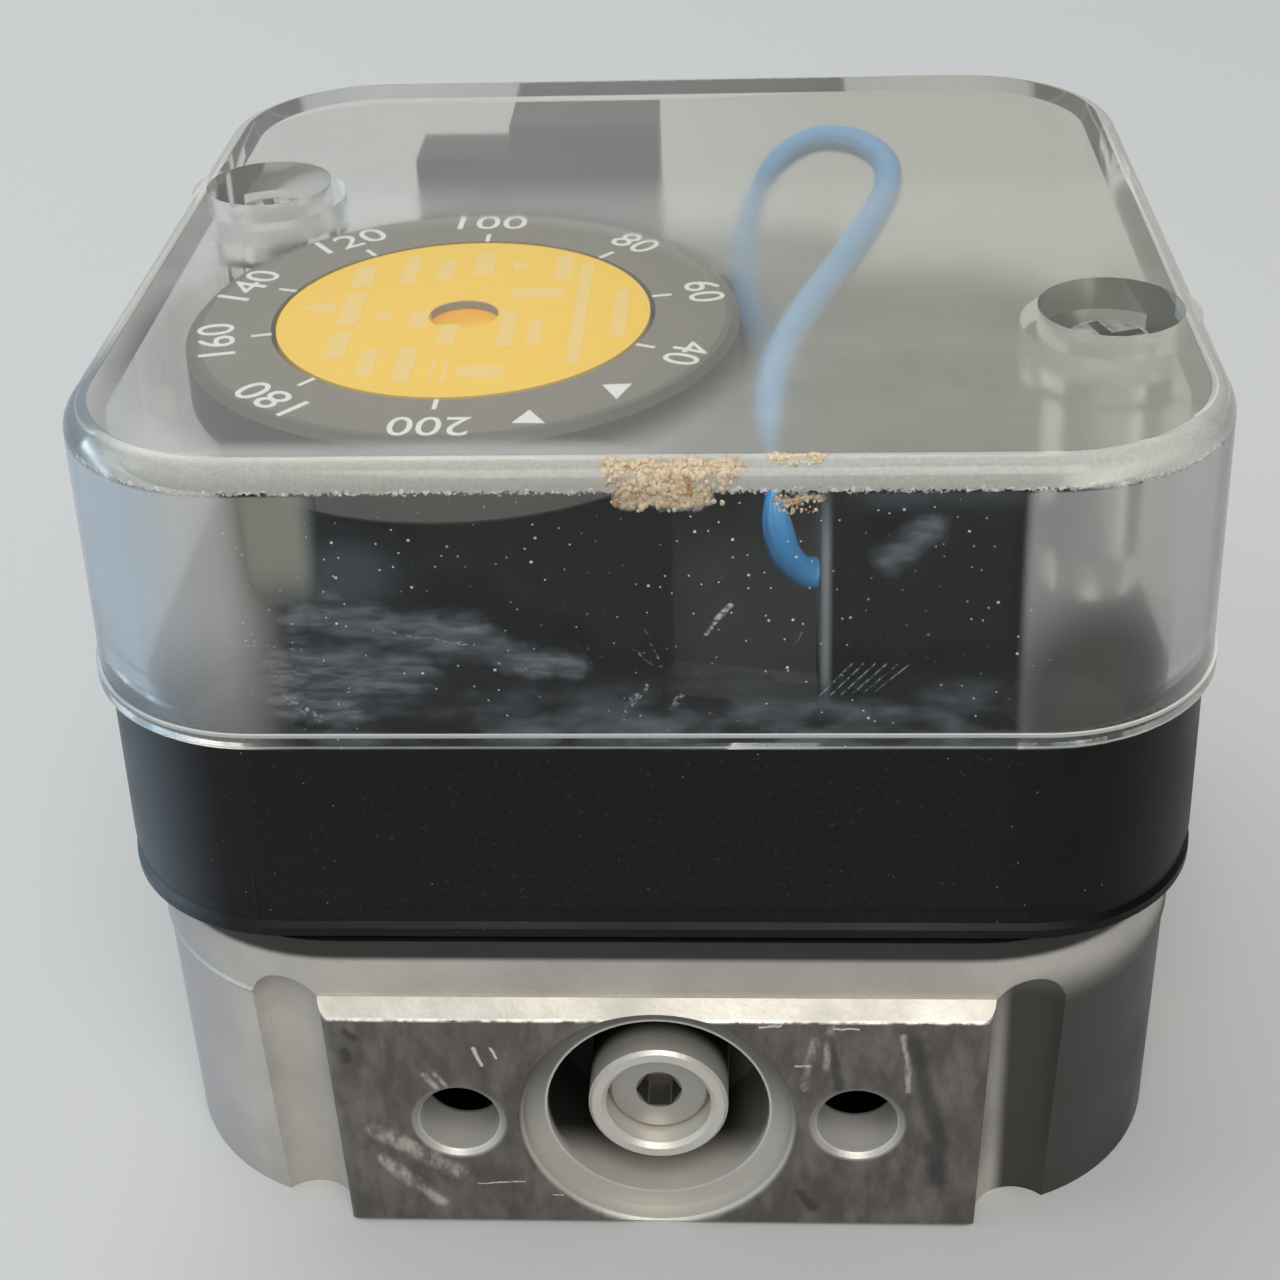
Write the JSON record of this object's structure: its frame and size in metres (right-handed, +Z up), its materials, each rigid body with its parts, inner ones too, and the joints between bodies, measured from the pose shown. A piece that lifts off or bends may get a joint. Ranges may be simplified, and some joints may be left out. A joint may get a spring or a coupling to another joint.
{
  "type": "gas pressure switch",
  "caption": "Compact gas pressure switch with a die-cast base, side port pad, black switch housing, clear screwed lid and a numbered setting dial.",
  "frame": {"origin": "centre of the flat underside of the base casting, between its four corner screws", "axes": "+Z up through the lid; the port pad faces -Y; +X to the right when the pad is seen from the front"},
  "size_m": [0.0604, 0.07, 0.0484],
  "materials": {
    "cast_aluminium": "die-cast, satin, worn on the pad face",
    "steel_screw": "zinc plated",
    "black_rubber": "matt",
    "turned_aluminium": "turned",
    "spring_steel": "bright",
    "natural_plastic": "matt",
    "black_plastic": "fine satin",
    "dial_black": "matt with pale numbers",
    "dial_yellow": "satin",
    "switch_black": "satin",
    "red_plastic": "satin",
    "tinned_pin": "tinned",
    "blue_insulation": "soft satin",
    "clear_plastic": "clear, dusty and scuffed",
    "brass": "turned"
  },
  "bodies": {
    "housing": {"base_housing": "cast_aluminium", "nozzle_screw": "steel_screw", "diaphragm": "black_rubber", "adjusting_spring": "spring_steel", "switch_housing": "black_plastic", "housing_screws": "steel_screw", "pointer_disc": "dial_yellow", "micro_switch": "switch_black", "switch_bracket": "spring_steel", "terminal_block": "switch_black", "plug_collar": "black_plastic", "plug_pins": "tinned_pin", "earth_pin": "tinned_pin", "blue_lead": "blue_insulation", "lid": "clear_plastic", "lid_gasket": "black_rubber", "lid_screws": "steel_screw", "screw_inserts": "brass"},
    "wheel": {"setting_wheel": "dial_black"},
    "nut": {"spring_nut": "natural_plastic"},
    "plate": {"diaphragm_plate": "turned_aluminium", "diaphragm_washer": "turned_aluminium", "actuator_arm": "spring_steel"},
    "plunger": {"switch_plunger": "red_plastic"}
  },
  "joints": [
    {"name": "wheel_turn", "type": "hinge", "parent": "housing", "child": "wheel", "pos_m": [-0.0109, -0.0067, 0.043], "axis": [0, 0, 1], "range_deg": [-90, 198]},
    {"name": "nut_travel", "type": "slide", "parent": "housing", "child": "nut", "axis": [0, 0, 1], "range_m": [-0.001, 0.0022], "deforming": ["adjusting_spring"]},
    {"name": "diaphragm_lift", "type": "slide", "parent": "housing", "child": "plate", "axis": [0, 0, 1], "range_m": [0, 0.0006], "stiffness_N_per_m": 2000, "deforming": ["diaphragm"]},
    {"name": "plunger_travel", "type": "slide", "parent": "housing", "child": "plunger", "axis": [0, 0, 1], "range_m": [0, 0.0006]}
  ],
  "couplings": [
    {"joint": "wheel_turn", "follows": "nut_travel", "rad_per_m": 1570.8},
    {"joint": "plunger_travel", "follows": "diaphragm_lift", "ratio": 1}
  ]
}
